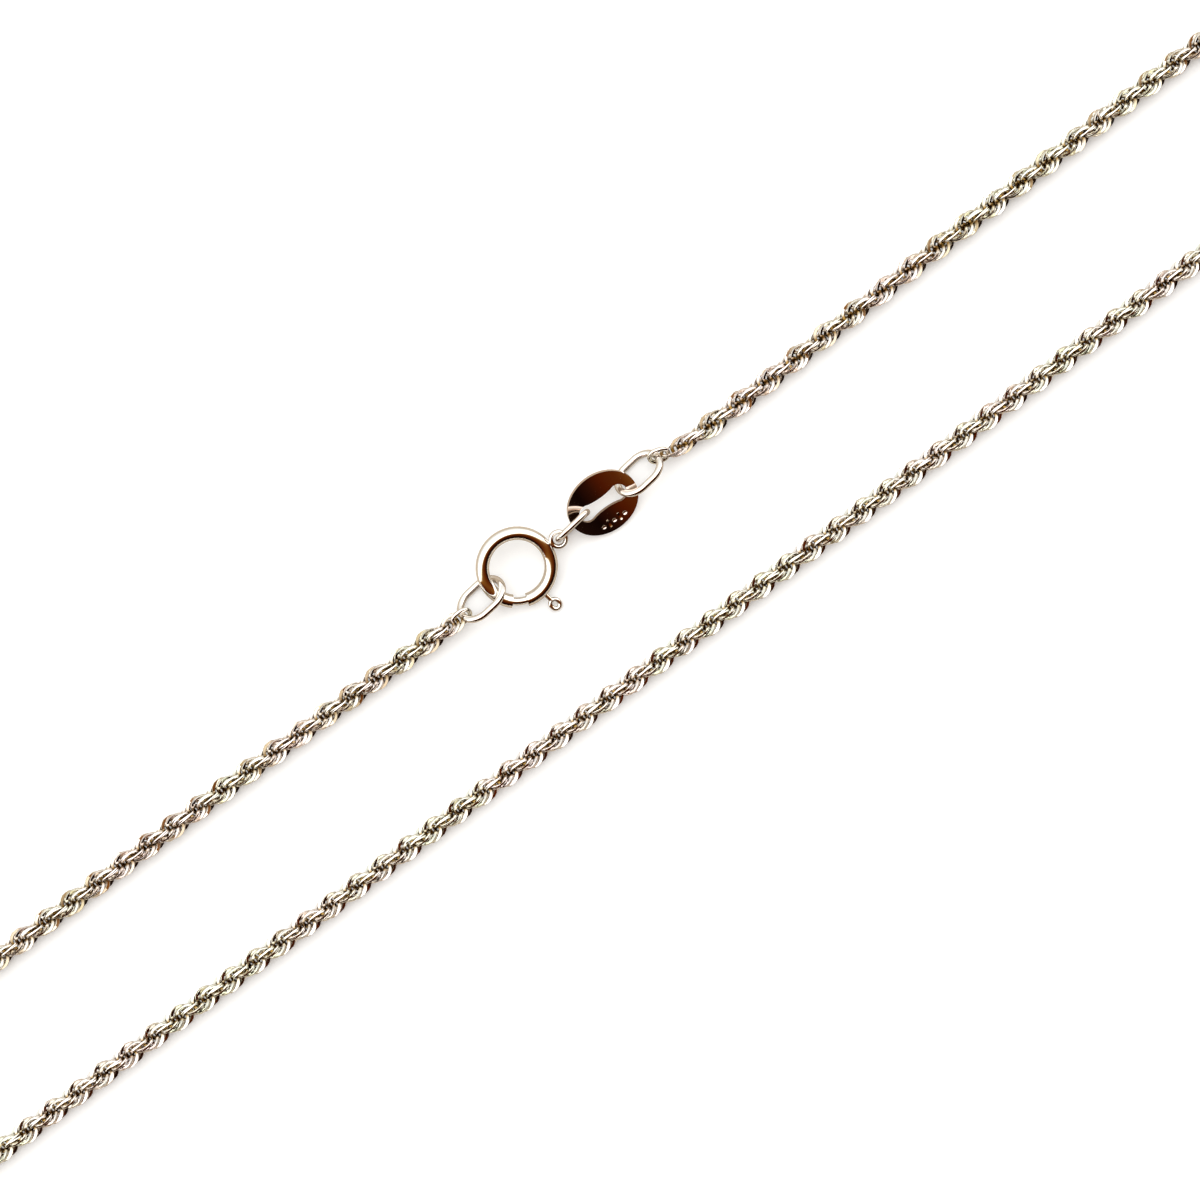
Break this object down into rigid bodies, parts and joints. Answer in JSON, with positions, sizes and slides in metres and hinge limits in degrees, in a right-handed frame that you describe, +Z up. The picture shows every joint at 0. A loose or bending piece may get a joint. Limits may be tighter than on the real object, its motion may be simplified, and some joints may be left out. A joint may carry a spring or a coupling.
{
  "type": "rope chain necklace with spring ring clasp",
  "caption": "Fine white-metal rope chain necklace, closed by a round spring ring clasp with an oval slotted tag, laid in a long loop.",
  "frame": {"origin": "centre of the loop's bounding box, on the surface that the necklace lies on", "axes": "+X along the two strands, towards the tag's end of the clasp row; +Y across the loop, towards the strand that holds the clasp; +Z up from the surface"},
  "size_m": [0.2222, 0.0156, 0.0022],
  "materials": {
    "rope_metal": "white precious metal, bright-drawn wire links with polished outer faces",
    "ring_metal": "white precious metal, polished round wire, softened by handling",
    "clasp_metal": "white precious metal, mirror polished tube",
    "tag_metal": "white precious metal, mirror polished flat with punched marks"
  },
  "bodies": {
    "necklace": {"rope_chain": "rope_metal", "end_ring_left": "ring_metal", "clasp_ring": "clasp_metal", "tag_link": "ring_metal", "tag": "tag_metal", "end_ring_right": "ring_metal"},
    "bolt": {"clasp_bolt": "clasp_metal"}
  },
  "joints": [
    {"name": "bolt_draw", "type": "hinge", "parent": "necklace", "child": "bolt", "pos_m": [-0.0031, 0.00505, 0.00112], "axis": [0, -0.225, 0.9744], "range_deg": [0, 38], "stiffness_Nm_per_rad": 0.004}
  ]
}
